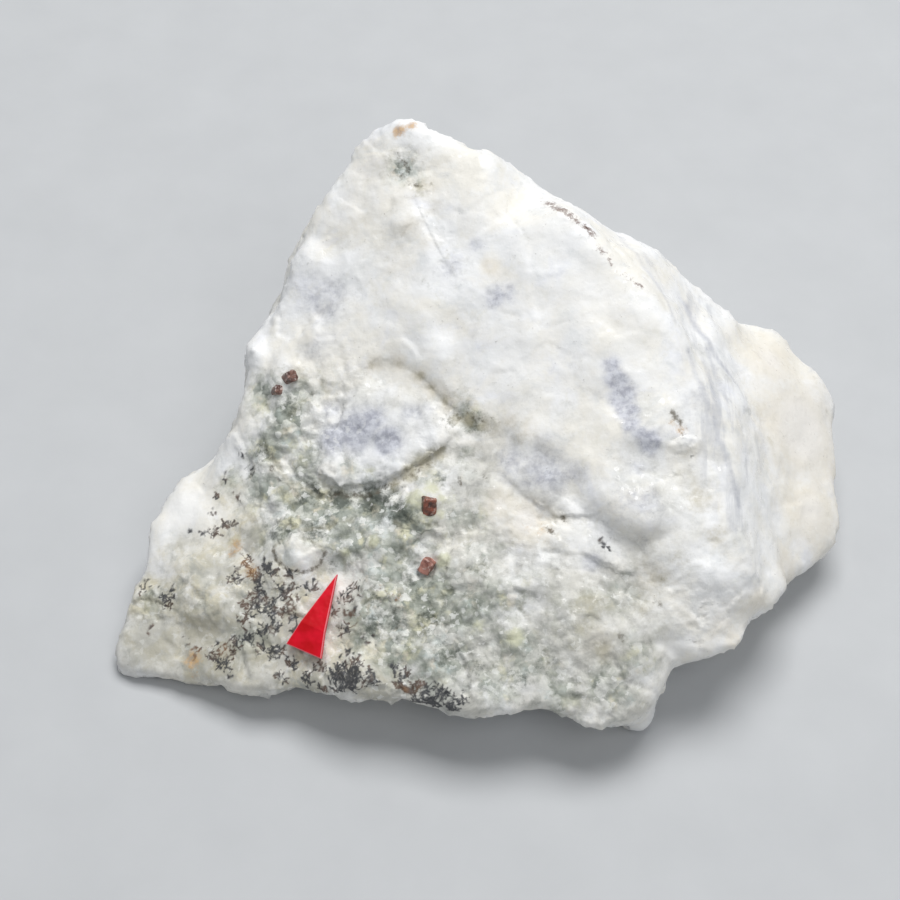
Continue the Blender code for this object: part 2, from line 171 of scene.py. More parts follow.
GREY = [
    ((470, 590), 3.5, 0.8), ((480, 650), 3.5, 0.9), ((540, 650), 3.5, 0.9), ((600, 660), 3.5, 0.9),
    ((560, 590), 3.5, 0.7), ((620, 600), 3.6, 0.7), ((640, 560), 3.0, 0.5), ((680, 560), 2.0, 0.3),
    ((680, 640), 2.0, 0.3), ((560, 700), 3.0, 0.8), ((620, 700), 3.0, 0.7), ((640, 520), 2.5, 0.4),
    ((430, 690), 3.0, 0.9), ((380, 690), 2.5, 0.9), ((320, 690), 2.5, 0.8), ((440, 620), 3.0, 0.8),
    ((400, 600), 3.0, 0.8), ((350, 620), 2.5, 0.8), ((260, 680), 2.5, 0.6), ((165, 600), 2.0, 0.7),
    ((150, 640), 3.0, 0.9), ((205, 645), 3.0, 0.9), ((500, 540), 2.5, 0.5), ((240, 620), 3.0, 0.8),
    ((280, 630), 3.0, 0.8), ((650, 640), 3.0, 0.6), ((580, 620), 3.0, 0.8), ((260, 580), 2.5, 0.6),
    ((160, 600), 2.0, 0.7), ((420, 700), 2.0, 1.0), ((460, 705), 2.0, 1.0), ((390, 400), 2.0, 0.4),
    ((330, 400), 1.6, 0.25), ((440, 500), 2.0, 0.5), ((385, 440), 2.0, 0.4), ((480, 480), 3.2, 0.7),
    ((540, 480), 3.0, 0.6), ((450, 520), 2.4, 0.7), ((515, 525), 2.6, 0.5), ((590, 600), 3.0, 0.8),
    ((660, 505), 2.8, 0.55), ((700, 400), 2.0, 0.4), ((420, 400), 1.8, 0.5), ((215, 570), 2.4, 0.75),
    ((185, 545), 2.0, 0.45), ((250, 640), 2.6, 1.0), ((340, 300), 2.2, 0.3), ((365, 392), 2.2, 0.5),
    ((555, 560), 2.6, 0.5), ((620, 490), 2.4, 0.3), ((720, 460), 2.0, 0.3), ((470, 440), 2.2, 0.3),
    ((505, 445), 2.0, 0.25), ((690, 530), 2.6, 0.35), ((400, 428), 1.5, 0.35), ((150, 635), 2.4, 1.0),
    ((200, 655), 2.2, 0.8), ((590, 545), 1.6, 0.45), ((440, 580), 2.4, 0.6), ((-8, 21, 14), 5.0, 0.8),
    ((2, 19, 11), 5.0, 0.7), ((8, 18, 8), 4.5, 0.8), ((-15, 14, 9), 4.5, 0.8),
    ((-18.5, 5, 6), 4.0, 0.7), ((17, 13, 7), 4.0, 0.6), ((-2, 19, 18), 4.0, 0.5),
    ((6, 15, 17), 3.5, 0.4), ((420, 412), 1.6, 0.4), ((520, 400), 2.6, 0.25), ((450, 370), 2.4, 0.2),
    ((560, 430), 2.4, 0.3), ((400, 240), 2.0, 0.2), ((280, 650), 2.6, 0.6), ((220, 680), 2.0, 0.6),
    ((330, 680), 2.2, 0.5), ((-23, -9, 2), 3.0, 0.6), ((-20, -1, 4), 3.0, 0.6), ((-17, 5, 6), 3.0, 0.6),
    ((-22, -5, 3), 2.5, 0.5), ((225, 655), 2.4, 1.0), ((375, 600), 2.4, 0.9), ((465, 565), 1.8, 0.9),
    ((495, 567), 1.8, 0.7), ((525, 562), 2.0, 0.6), ((585, 538), 1.8, 0.4), ((640, 475), 2.4, 0.5),
    ((690, 492), 2.4, 0.45), ((640, 412), 2.0, 0.35), ((672, 412), 1.4, 0.35), ((718, 370), 2.0, 0.4),
    ((735, 535), 1.8, 0.45), ((442, 205), 1.2, 0.35), ((345, 445), 1.4, 0.6), ((436, 416), 1.0, 0.5),
    ((318, 566), 0.8, 0.7), ((255, 538), 1.4, 0.8), ((345, 560), 1.4, 0.6), ((528, 535), 1.6, 0.7),
    ((705, 355), 1.6, 0.3),
]
OLIVE = [
    ((395, 483), 0.7, 0.8), ((410, 474), 0.9, 0.9), ((425, 464), 0.9, 0.9), ((439, 455), 0.7, 0.8),
    ((690, 455), 0.6, 0.45), ((225, 658), 1.5, 0.6), ((257, 656), 1.2, 0.5), ((200, 655), 1.3, 0.5),
    ((315, 655), 1.2, 0.4), ((226, 535), 1.0, 0.4), ((405, 474), 0.8, 0.6), ((455, 420), 0.7, 0.7),
    ((470, 419), 0.7, 0.8), ((484, 424), 0.7, 0.7), ((500, 430), 0.9, 0.5), ((372, 366), 0.5, 0.5),
    ((400, 363), 0.4, 0.5), ((420, 376), 0.5, 0.7), ((432, 388), 0.5, 0.8), ((445, 400), 0.5, 0.7),
    ((520, 438), 1.0, 0.4), ((545, 452), 0.9, 0.4), ((420, 189), 0.7, 0.6), ((432, 184), 0.4, 0.5),
    ((700, 500), 1.4, 0.45), ((715, 535), 1.0, 0.5), ((655, 580), 1.6, 0.45), ((590, 605), 1.6, 0.55),
    ((580, 625), 1.0, 0.5), ((330, 395), 1.2, 0.45), ((310, 400), 1.2, 0.4), ((500, 500), 1.2, 0.3),
    ((372, 545), 0.8, 0.5), ((350, 560), 1.0, 0.4), ((298, 375), 1.2, 0.5), ((292, 495), 1.0, 0.4),
    ((560, 540), 1.2, 0.3), ((760, 420), 0.7, 0.4), ((770, 440), 0.6, 0.4), ((395, 150), 0.8, 0.4),
    ((382, 180), 0.8, 0.3), ((185, 610), 2.0, 0.45), ((215, 625), 1.6, 0.4), ((290, 600), 1.4, 0.3),
    ((370, 660), 1.2, 0.3), ((605, 650), 1.0, 0.5), ((640, 610), 1.2, 0.4), ((-6, 21.5, 11), 1.8, 0.6),
    ((1, 19.5, 13), 1.5, 0.5), ((9, 17.5, 9.5), 1.6, 0.6), ((14, 15, 9), 1.4, 0.5),
    ((-15.5, 13, 11), 1.6, 0.5), ((-9, 20.5, 17), 1.3, 0.5), ((740, 600), 1.2, 0.4),
    ((680, 560), 1.2, 0.35),
]
OCHRE = [
    ((399, 131), 0.65, 1.0), ((412, 126), 0.55, 0.9), ((236, 545), 0.65, 0.8), ((232, 553), 0.5, 0.8),
    ((250, 570), 0.7, 0.9), ((193, 660), 0.9, 0.8), ((225, 650), 0.6, 0.5), ((397, 594), 0.5, 0.4),
    ((681, 430), 0.6, 0.6), ((405, 690), 0.4, 0.5), ((552, 212), 0.8, 0.3), ((540, 533), 1.0, 0.45),
    ((415, 690), 0.4, 0.4), ((527, 528), 0.8, 0.42), ((552, 530), 0.3, 0.7), ((380, 585), 0.4, 0.4),
    ((398, 598), 0.35, 0.6), ((388, 590), 0.3, 0.5), ((350, 470), 0.5, 0.3), ((676, 424), 0.6, 0.5),
    ((432, 565), 0.35, 0.5), ((362, 612), 0.3, 0.4), ((243, 560), 0.5, 0.7), ((195, 675), 0.5, 0.6),
    ((-1, 20.5, 12), 0.9, 0.6), ((11, 16.5, 8), 0.8, 0.5), ((-14, 15.5, 8), 0.8, 0.6),
    ((-7, 21.5, 8), 0.7, 0.5),
]
WHITE = [
    ((185, 508), 2.0, 1.0), ((345, 483), 0.9, 1.0), ((372, 487), 0.7, 0.5), ((590, 290), 4.0, 0.7),
    ((640, 330), 3.0, 0.5), ((470, 215), 3.0, 0.6), ((540, 235), 3.5, 0.6), ((480, 230), 3.0, 0.4),
    ((570, 330), 3.0, 0.5), ((673, 648), 1.0, 0.8), ((688, 644), 0.8, 0.8), ((165, 560), 1.4, 0.5),
    ((520, 490), 0.5, 0.6), ((540, 508), 0.6, 0.7), ((560, 513), 0.5, 0.6), ((575, 540), 1.2, 0.5),
    ((405, 462), 0.5, 0.7), ((530, 625), 1.2, 0.5), ((545, 640), 0.8, 0.5), ((525, 690), 0.7, 0.4),
    ((520, 350), 2.6, 0.7), ((460, 220), 2.4, 0.5), ((510, 482), 0.4, 0.7), ((530, 500), 0.4, 0.8),
    ((548, 513), 0.5, 0.8), ((575, 514), 0.5, 0.6), ((425, 452), 0.35, 0.8), ((440, 444), 0.3, 0.8),
    ((385, 478), 0.4, 0.8), ((330, 488), 0.6, 0.8), ((455, 240), 0.9, 0.6), ((395, 215), 1.4, 0.3),
    ((290, 555), 0.5, 0.8), ((660, 645), 0.8, 0.7), ((640, 300), 2.4, 0.6), ((708, 590), 2.2, 0.6),
    ((287, 447), 1.1, 0.8), ((195, 592), 1.3, 0.7), ((315, 475), 1.0, 0.8), ((345, 477), 1.0, 1.0),
    ((738, 598), 1.4, 0.5),
]
WARM = [
    ((375, 365), 0.9, 0.8), ((400, 363), 0.9, 0.8), ((418, 376), 0.8, 0.8), ((432, 388), 0.9, 0.9),
    ((450, 404), 0.9, 0.9), ((480, 415), 1.0, 0.6), ((550, 448), 0.8, 0.5), ((495, 430), 0.8, 0.5),
    ((800, 430), 6.0, 1.0), ((770, 360), 4.0, 0.9), ((810, 510), 4.0, 0.9), ((785, 570), 2.5, 0.9),
    ((700, 500), 2.0, 0.5), ((715, 535), 1.4, 0.5), ((740, 600), 3.0, 0.4), ((330, 380), 1.8, 0.3),
    ((385, 165), 2.2, 0.4), ((600, 640), 2.0, 0.5), ((650, 590), 2.0, 0.3), ((735, 642), 1.0, 0.8),
    ((580, 650), 1.2, 0.4), ((525, 522), 2.2, 1.0), ((500, 505), 1.6, 0.9), ((560, 600), 2.0, 0.3),
    ((430, 185), 1.0, 0.6), ((425, 240), 1.4, 0.4), ((400, 260), 2.5, 0.3), ((500, 275), 1.2, 0.5),
    ((530, 430), 1.2, 0.6), ((510, 420), 0.9, 0.6), ((445, 395), 0.8, 0.5), ((390, 366), 0.9, 0.5),
    ((490, 266), 1.0, 0.9), ((345, 215), 2.6, 0.35), ((365, 170), 2.0, 0.4), ((415, 150), 1.6, 0.3),
    ((500, 510), 1.6, 0.6), ((655, 575), 1.6, 0.6), ((200, 625), 2.2, 0.7), ((545, 540), 1.2, 0.5),
    ((590, 225), 2.0, 0.3), ((655, 265), 2.0, 0.35), ((470, 395), 1.6, 0.3), ((600, 460), 1.6, 0.4),
    ((412, 225), 1.6, 0.5), ((400, 200), 1.6, 0.4), ((760, 600), 2.0, 0.6), ((720, 625), 1.6, 0.5),
    ((527, 532), 1.6, 0.9), ((435, 205), 1.4, 0.4), ((-5, 21, 17), 4.0, 0.6), ((3, 17.5, 16), 4.0, 0.5),
    ((12, 15, 11), 3.5, 0.6), ((20, 12, 6), 3.5, 0.7), ((-13, 16, 11), 3.5, 0.5),
]
FOOT = [
    ((170, 560), 2.6, 0.5), ((150, 600), 2.4, 1.0), ((190, 600), 3.0, 1.0), ((150, 640), 2.4, 1.0),
    ((200, 650), 3.0, 1.0), ((240, 600), 3.0, 1.0), ((250, 650), 3.0, 1.0), ((300, 620), 3.0, 1.0),
    ((300, 670), 3.0, 1.0), ((350, 650), 2.6, 0.9), ((380, 690), 2.4, 0.8), ((240, 540), 2.4, 0.9),
    ((230, 490), 1.8, 0.7), ((205, 560), 2.2, 0.8), ((280, 580), 2.2, 0.8), ((320, 580), 1.8, 0.6),
]
PALE_GRAIN = [
    ((416, 500), 1.0, 1.0), ((419, 512), 0.8, 0.9), ((440, 500), 0.7, 0.8), ((431, 490), 0.8, 0.9),
    ((440, 514), 0.6, 0.7), ((443, 560), 0.8, 1.0), ((374, 541), 0.6, 0.9), ((430, 520), 0.5, 0.6),
    ((345, 552), 0.6, 0.7), ((515, 637), 0.9, 0.9), ((480, 625), 0.7, 0.6), ((545, 660), 0.5, 0.5),
    ((430, 540), 0.5, 0.6), ((452, 500), 0.9, 0.5), ((292, 445), 0.9, 0.6), ((330, 620), 0.6, 0.4),
    ((370, 470), 0.7, 0.6), ((398, 460), 0.4, 0.5), ((655, 660), 0.4, 0.5), ((300, 390), 0.7, 0.4),
    ((335, 385), 0.8, 0.4), ((320, 372), 0.6, 0.4), ((600, 660), 0.5, 0.4), ((385, 560), 0.5, 0.5),
]
CLEAR_GRAIN = [
    ((291, 557), 0.9, 1.0), ((308, 560), 0.8, 0.7), ((262, 515), 0.5, 0.5), ((455, 562), 0.7, 0.6),
]
STRIPED = [
    ((700, 310), 2.0, 0.9), ((705, 345), 2.6, 1.0), ((715, 385), 2.8, 1.0), ((725, 430), 2.8, 1.0),
    ((732, 470), 2.6, 1.0), ((738, 510), 2.2, 0.8), ((650, 262), 1.6, 0.5),
]
ZONES = {
    "rough": ROUGH, "green": GREEN, "dark_green": DARK_GREEN, "blue": BLUE, "grey": GREY,
    "olive": OLIVE, "ochre": OCHRE, "white": WHITE, "warm": WARM, "foot": FOOT,
    "pale_grain": PALE_GRAIN, "clear_grain": CLEAR_GRAIN, "striped": STRIPED,
}

# Dirt in pits and cracks, and painted shade in hollows and under lips along breaks: the points each
# line runs through, its width and its strength.
DIRT_AND_SHADE = [
    (((447, 421), (456, 417), (470, 418), (484, 423)), 0.4, 0.4),
    (((546, 527), (553, 533)), 0.22, 0.85), (((335, 494), (360, 496), (388, 491)), 0.35, 0.65),
    (((390, 487), (412, 477), (430, 465)), 0.3, 0.55), (((562, 513), (565, 522)), 0.22, 0.8),
    (((673, 413), (680, 422)), 0.24, 0.95), (((680, 424), (684, 440)), 0.14, 0.6),
    (((459, 478), (461, 485)), 0.14, 0.9), (((484, 477), (487, 479)), 0.14, 0.9),
    (((398, 152), (400, 162)), 0.2, 0.55),
    (((273, 548), (277, 561), (288, 570), (306, 572), (319, 565), (326, 553)), 0.17, 0.85),
    (((404, 160), (408, 170), (400, 178)), 0.24, 0.65),
    (((404, 183), (420, 187), (432, 184)), 0.18, 0.5),
    (((262, 448), (270, 458), (272, 470)), 0.22, 0.6), (((655, 600), (662, 606)), 0.2, 0.6),
    (((620, 634), (624, 640)), 0.2, 0.8), (((690, 640), (700, 645)), 0.2, 0.5),
]

# Cracks and edges of the break, cut in shallow and given painted shade as fine dark lines: their
# points, width and strength.
CREASES = [
    (((419, 196), (429, 215)), 0.5, 0.22), (((429, 215), (441, 240), (452, 266)), 0.55, 0.25),
    (((366, 367), (385, 362), (400, 364), (418, 374), (432, 388), (450, 407)), 0.24, 0.35),
    (((402, 236), (410, 224)), 0.12, 0.4),
    (((276, 545), (290, 538), (310, 540), (324, 550)), 0.16, 0.8),
    (((554, 516), (575, 520), (600, 521), (612, 528)), 0.26, 0.6), (((505, 208), (530, 240)), 0.2, 0.3),
    (((135, 602), (142, 598), (152, 599), (170, 606)), 0.24, 0.9), (((130, 614), (160, 618)), 0.2, 0.4),
    (((320, 472), (322, 484), (340, 491)), 0.2, 0.7), (((596, 512), (640, 535)), 0.3, 0.2),
    (((280, 522), (300, 530), (330, 527), (352, 520)), 0.24, 0.7), (((430, 452), (447, 447)), 0.2, 0.8),
    (((640, 470), (665, 478), (690, 470)), 0.24, 0.4), (((700, 600), (706, 622)), 0.16, 0.4),
    (((270, 455), (288, 482), (318, 495)), 0.26, 0.8),
    (((395, 522), (412, 530), (436, 524)), 0.22, 0.6), (((446, 560), (448, 572)), 0.14, 0.5),
    (((520, 606), (540, 640), (550, 668)), 0.2, 0.45), (((455, 640), (470, 655)), 0.2, 0.5),
]

# Brown films along the crest: the points each runs through, its width and its strength.
BROWN = [
    (((547, 204), (560, 210), (574, 219), (584, 225), (594, 234)), 0.44, 0.85),
    (((600, 246), (606, 253), (612, 263)), 0.34, 0.8),
    (((620, 270), (630, 276), (640, 284)), 0.32, 0.75),
    (((370, 588), (385, 590), (398, 600)), 0.24, 0.7), (((240, 548), (248, 560)), 0.2, 0.6),
    (((690, 420), (682, 440), (700, 455)), 0.14, 0.5), (((200, 650), (215, 646)), 0.2, 0.5),
]

# Grey-blue veins: the points each runs through, its width and its strength.
VEINS = [
    (((686, 306), (700, 332), (718, 360), (734, 385)), 0.45, 0.8), (((737, 387), (745, 410)), 0.3, 0.5),
    (((690, 350), (700, 378), (712, 410), (722, 445), (733, 477), (739, 505)), 0.36, 0.7),
    (((700, 330), (715, 372), (726, 400)), 0.32, 0.6), (((620, 238), (640, 262), (657, 284)), 0.4, 0.5),
    (((657, 284), (668, 300), (675, 322)), 0.32, 0.5),
    (((704, 360), (716, 400), (724, 430)), 0.32, 0.5),
    (((745, 395), (756, 430), (762, 470)), 0.34, 0.4),
    (((730, 520), (745, 560), (765, 590)), 0.32, 0.4), (((650, 275), (664, 296)), 0.26, 0.4),
    (((715, 440), (722, 470)), 0.26, 0.4),
]

# Ledges: the points each lip runs through with the low ground on its right, its drop and its reach.
LEDGES = [
    (((415, 372), (430, 385), (447, 405), (470, 420)), 0.05, 1.2),
    (((318, 465), (318, 476), (340, 486), (365, 485), (390, 476), (412, 466), (430, 455), (447, 443)),
     0.5, 1.5),
    (((411, 188), (420, 210), (430, 232), (440, 252), (450, 268)), 0.08, 2.4),
    (((500, 470), (510, 482), (520, 492), (536, 503), (548, 510)), 0.16, 1.2),
    (((548, 510), (556, 518), (575, 516), (600, 514)), 0.2, 1.2),
    (((135, 601), (142, 598), (155, 600), (172, 608)), 0.12, 1.0),
    (((366, 492), (390, 500), (412, 520)), 0.3, 1.0), (((286, 455), (300, 480), (330, 500)), 0.3, 1.0),
]

# Swellings, which round out single grains and fill hollows: centre, radius and height in millimetres.
SWELLS = [
    ((298, 556), 1.5, 0.12), ((417, 505), 1.3, 0.18), ((446, 505), 1.0, 0.12), ((515, 637), 1.1, 0.22),
    ((716, 583), 2.6, 0.5), ((648, 522), 3.0, 0.6), ((443, 560), 0.6, 0.18), ((374, 541), 0.7, 0.16),
    ((345, 552), 0.7, 0.16), ((300, 450), 1.0, 0.15), ((200, 612), 2.4, 0.25), ((540, 455), 2.8, 0.3),
    ((600, 498), 2.8, 0.4), ((480, 432), 2.0, 0.25), ((628, 516), 2.2, 0.3),
]


# How fast a spot and a line fade, measured by the spot's radius and the line's width.
SPOT_FADE = 1.1
LINE_FADE = 0.7


def places_of(shape):
    return np.array([vert.co[:] for vert in shape.verts])


def middle_of(spot):
    """A spot's place in metres, from its two pixels or its three millimetres."""
    return np.array(seen_at(*spot)) if len(spot) == 2 else np.array(spot) * MM


def zone_strength(places, spots):
    """How far each place belongs to a zone, from 0 to 1, fading softly away from each of its spots."""
    strength = np.zeros(len(places))
    for spot, radius, most in spots:
        gap = np.linalg.norm(places - middle_of(spot), axis=1) / (radius * MM)
        strength = np.maximum(strength, most * np.exp(-SPOT_FADE * gap ** 2))
    return strength


def line_gap(places, pixels):
    """How far each place is from a line on the stone and from its ends, and on which side it lies."""
    points = [np.array(seen_at(*pixel)) for pixel in pixels]
    nearest = np.full(len(places), 1.0)
    side = np.zeros(len(places))
    for start, end in zip(points, points[1:]):
        along = end - start
        share = np.clip((places - start) @ along / (along @ along), 0.0, 1.0)
        away = places - start - share[:, None] * along
        gap = np.linalg.norm(away, axis=1)
        turn = along[0] * away[:, 1] - along[1] * away[:, 0]
        closer = gap < nearest
        nearest[closer] = gap[closer]
        side[closer] = turn[closer]
    ends = [np.linalg.norm(places - end, axis=1) for end in (points[0], points[-1])]
    return nearest, np.minimum(*ends), side


def line_strength(places, lines):
    """How far each place belongs to a set of lines, from 0 to 1, fading away to both sides."""
    strength = np.zeros(len(places))
    for pixels, width, most in lines:
        gap = line_gap(places, pixels)[0] / (width * MM)
        strength = np.maximum(strength, most * np.exp(-LINE_FADE * gap ** 2))
    return strength


def ledge_depth(places):
    """How deep, in millimetres, the ledges' low ground lies at each place."""
    depth = np.zeros(len(places))
    for pixels, drop, reach in LEDGES:
        gap, ends, side = line_gap(places, pixels)
        share = np.clip(1.0 - gap / (reach * MM), 0.0, 1.0)
        taper = np.clip(ends / (0.6 * reach * MM), 0.0, 1.0)
        depth += drop * share ** 2 * taper * (side < 0.0)
    return depth


def swell_height(places):
    """How high, in millimetres, the swellings rise at each place."""
    return sum(zone_strength(places, [swell]) for swell in SWELLS)


def chipped(place, size):
    """A hackly break: space is parted into cells, and in each the surface has a slope of its own."""
    centre = noise.voronoi(place / size)[1][0]
    slope = noise.cell_vector(centre * 9.7) - Vector((0.5, 0.5, 0.5))
    return slope.dot(place / size - centre)


def grained(place, size):
    """Rounded grains packed side by side: 1 at the middle of a grain and falling to its edges."""
    return 1.0 - 2.0 * noise.voronoi(place / size)[0][0] ** 2


def fine_relief(place, rough, green):
    """The break's height at a place, in millimetres: waves, chips of three sizes, hackle and grains."""
    height = 0.25 * noise.fractal(place / 5.0, 1.0, 2.0, 2)
    height += (0.12 + 0.55 * rough) * chipped(place, 3.1)
    height += (0.06 + 0.34 * rough) * chipped(place, 1.6)
    height += (0.02 + 0.26 * rough) * chipped(place, 0.8)
    height += (0.015 + 0.11 * rough) * noise.fractal(place / 0.6, 0.9, 2.0, 3)
    height += green * (0.18 * grained(place, 0.95) + 0.05 * grained(place, 0.45) - 0.13)
    return height


def rebuilt(shape, cell):
    """The same surface in even cells of this size."""
    mesh = bpy.data.meshes.new("rebuilt")
    shape.to_mesh(mesh)
    block = bpy.data.objects.new("rebuilt", mesh)
    bpy.context.scene.collection.objects.link(block)
    cells = block.modifiers.new("cells", "REMESH")
    cells.mode = "VOXEL"
    cells.voxel_size = cell
    graph = bpy.context.evaluated_depsgraph_get()
    fine = bmesh.new()
    fine.from_mesh(block.evaluated_get(graph).data)
    bpy.data.objects.remove(block)
    return fine


def smoothed(shape, rounds, verts=None):
    """Move all vertices, or just these, half-way to the middle of their neighbours, in rounds."""
    for _ in range(rounds):
        bmesh.ops.smooth_vert(shape, verts=verts or shape.verts, factor=0.5,
                              use_axis_x=True, use_axis_y=True, use_axis_z=True)


def refine(shape, wanted):
    """Halve the edges between the vertices for which wanted is true."""
    edges = [edge for edge in shape.edges if all(wanted[vert.index] for vert in edge.verts)]
    bmesh.ops.subdivide_edges(shape, edges=edges, cuts=1, use_grid_fill=True)
    shape.verts.index_update()


# The rock grips its crystals, so each socket of the solid is plugged before the surface is rebuilt.
toward_view = (camera.location - VIEW_TARGET).normalized()
for node in CRYSTALS:
    plug = solid_of(node)
    for vert in plug.verts:
        vert.co += vert.normal * PLUG_SWELL - toward_view * PLUG_SINK
    plug_mesh = bpy.data.meshes.new("plug")
    plug.to_mesh(plug_mesh)
    plug.free()
    packed_stone.from_mesh(plug_mesh)

stone = rebuilt(packed_stone, COARSE_CELL)
smoothed(stone, FIRST_SMOOTHING)
stone.normal_update()
refine(stone, [vert.normal.dot(toward_view) > FINE_FACING and vert.co.z > FINE_LEVEL
               for vert in stone.verts])
smoothed(stone, FINE_SMOOTHING)

# Along its thin lines the surface gets cells of half that size again.
by_a_crease = [(pixels, 2.0 * width, 1.0) for pixels, width, _ in CREASES + BROWN]
refine(stone, line_strength(places_of(stone), by_a_crease) > 0.5)

stone.normal_update()
places = places_of(stone)
facing = np.array([vert.normal.dot(toward_view) for vert in stone.verts])
turned_away = np.clip(1.0 - facing / 0.5, 0.0, 1.0)
rough = np.maximum(zone_strength(places, ROUGH), AWAY_ROUGHNESS * turned_away)
rough *= 1.0 - 0.8 * zone_strength(places, SMOOTH)
green = zone_strength(places, GREEN)
drops = ledge_depth(places) - swell_height(places) + CREASE_DEPTH * line_strength(places, CREASES)
drops += CREASE_DEPTH * line_strength(places, DIRT_AND_SHADE)
moves = []
for vert in stone.verts:
    at = vert.index
    height = fine_relief(vert.co / MM, rough[at], green[at]) - drops[at]
    moves.append(vert.normal * height * MM)
for vert, move in zip(stone.verts, moves):
    vert.co += move
smoothed(stone, 1, [vert for vert in stone.verts if rough[vert.index] < CALM_ROUGHNESS])

# The base is cut flat and closed.
cut = bmesh.ops.bisect_plane(stone, geom=stone.verts[:] + stone.edges[:] + stone.faces[:],
                             plane_co=(0, 0, BASE_LEVEL), plane_no=(0, 0, 1), clear_inner=True)
rim = [item for item in cut["geom_cut"] if isinstance(item, bmesh.types.BMEdge)]
bmesh.ops.holes_fill(stone, edges=rim)
bmesh.ops.triangulate(stone, faces=stone.faces)
stone.verts.index_update()


# The dendrites
# Black moss-like films of manganese oxide crept along cracks of the pale foot. They have no height:
# twigs are walked over the surface from listed places, and leave their mark on its points.

TWIG_STEP = 0.06 * MM
TWIG_WIDTH = 0.063 * MM
# Where a tuft is seen, its spread in millimetres, its twigs and their length in millimetres.
TUFTS = [
    ((216, 497), 0.25, 6, 0.5), ((238, 500), 0.2, 4, 0.5), ((212, 515), 0.3, 4, 0.3),
    ((213, 535), 0.3, 7, 0.6), ((226, 526), 0.3, 7, 0.7), ((188, 532), 0.1, 2, 0.4),
    ((203, 535), 0.2, 3, 0.4), ((225, 478), 0.2, 4, 0.3), ((245, 560), 0.5, 8, 0.6),
    ((235, 578), 0.5, 8, 0.8), ((255, 580), 0.5, 8, 0.8), ((265, 570), 0.4, 8, 0.6),
    ((262, 600), 0.7, 12, 0.8), ((270, 612), 0.7, 11, 0.8), ((250, 605), 0.6, 9, 0.8),
    ((245, 620), 0.5, 8, 0.6), ((285, 595), 0.6, 10, 0.8), ((290, 575), 0.4, 8, 0.6),
    ((270, 572), 0.5, 8, 0.6), ((310, 590), 0.4, 8, 0.7), ((285, 615), 0.5, 10, 0.7),
    ((275, 630), 0.5, 8, 0.7), ((296, 630), 0.4, 6, 0.6), ((345, 600), 0.5, 8, 0.6),
    ((355, 590), 0.5, 6, 0.5), ((335, 615), 0.3, 6, 0.5), ((345, 630), 0.4, 6, 0.6),
    ((350, 615), 0.4, 5, 0.6), ((145, 590), 0.5, 7, 0.4), ((165, 597), 0.5, 9, 0.4),
    ((175, 592), 0.4, 5, 0.4), ((170, 605), 0.4, 6, 0.3), ((150, 632), 0.3, 3, 0.4),
    ((238, 645), 0.4, 8, 0.6), ((250, 640), 0.4, 8, 0.6), ((230, 655), 0.4, 6, 0.5),
    ((225, 668), 0.5, 8, 0.6), ((215, 657), 0.5, 8, 0.6), ((260, 650), 0.4, 6, 0.6),
    ((275, 655), 0.5, 9, 0.7), ((290, 665), 0.5, 8, 0.6), ((280, 680), 0.4, 6, 0.5),
    ((305, 680), 0.5, 8, 0.6), ((320, 670), 0.5, 8, 0.6), ((340, 675), 0.6, 20, 0.8),
    ((350, 685), 0.6, 20, 0.8), ((355, 668), 0.5, 12, 0.7), ((335, 690), 0.4, 8, 0.6),
    ((320, 690), 0.4, 7, 0.5), ((370, 680), 0.4, 8, 0.7), ((365, 640), 0.5, 4, 0.5),
    ((400, 675), 0.5, 10, 0.7), ((405, 690), 0.5, 12, 0.8), ((420, 690), 0.5, 12, 0.7),
    ((430, 703), 0.5, 14, 0.7), ((440, 695), 0.5, 12, 0.7), ((450, 710), 0.4, 10, 0.6),
    ((460, 700), 0.4, 7, 0.5), ((415, 705), 0.4, 8, 0.5), ((390, 668), 0.4, 4, 0.4),
    ((250, 470), 0.5, 4, 0.3), ((243, 455), 0.4, 4, 0.3), ((606, 549), 0.25, 6, 0.3),
    ((600, 543), 0.2, 3, 0.2), ((588, 228), 0.2, 2, 0.3), ((689, 455), 0.3, 2, 0.15),
    ((345, 652), 0.4, 5, 0.6), ((222, 645), 0.4, 5, 0.5), ((195, 655), 0.4, 4, 0.4),
    ((185, 640), 0.4, 2, 0.3), ((300, 650), 0.3, 4, 0.5), ((265, 635), 0.4, 6, 0.6),
]

# The denser tufts get finer cells too.
DENSE_TUFT = 5
tuft_spots = [(pixels, spread + length, 1.0) for pixels, spread, twigs, length in TUFTS
              if twigs > DENSE_TUFT]
refine(stone, zone_strength(places_of(stone), tuft_spots) > 0.5)
bmesh.ops.triangulate(stone, faces=stone.faces)

surface = BVHTree.FromBMesh(stone)
point_tree = KDTree(len(stone.verts))
for vert in stone.verts:
    point_tree.insert(vert.co, vert.index)
point_tree.balance()
dendrite = np.zeros(len(stone.verts))
dice = random.Random(7)


def heading(normal, degrees):
    """The direction along the surface that points that way in the picture, 90 degrees being up."""
    seen = Vector((cos(radians(degrees)), sin(radians(degrees)), 0.0))
    seen.rotate(camera.rotation_euler)
    return (seen - normal * seen.dot(normal)).normalized()


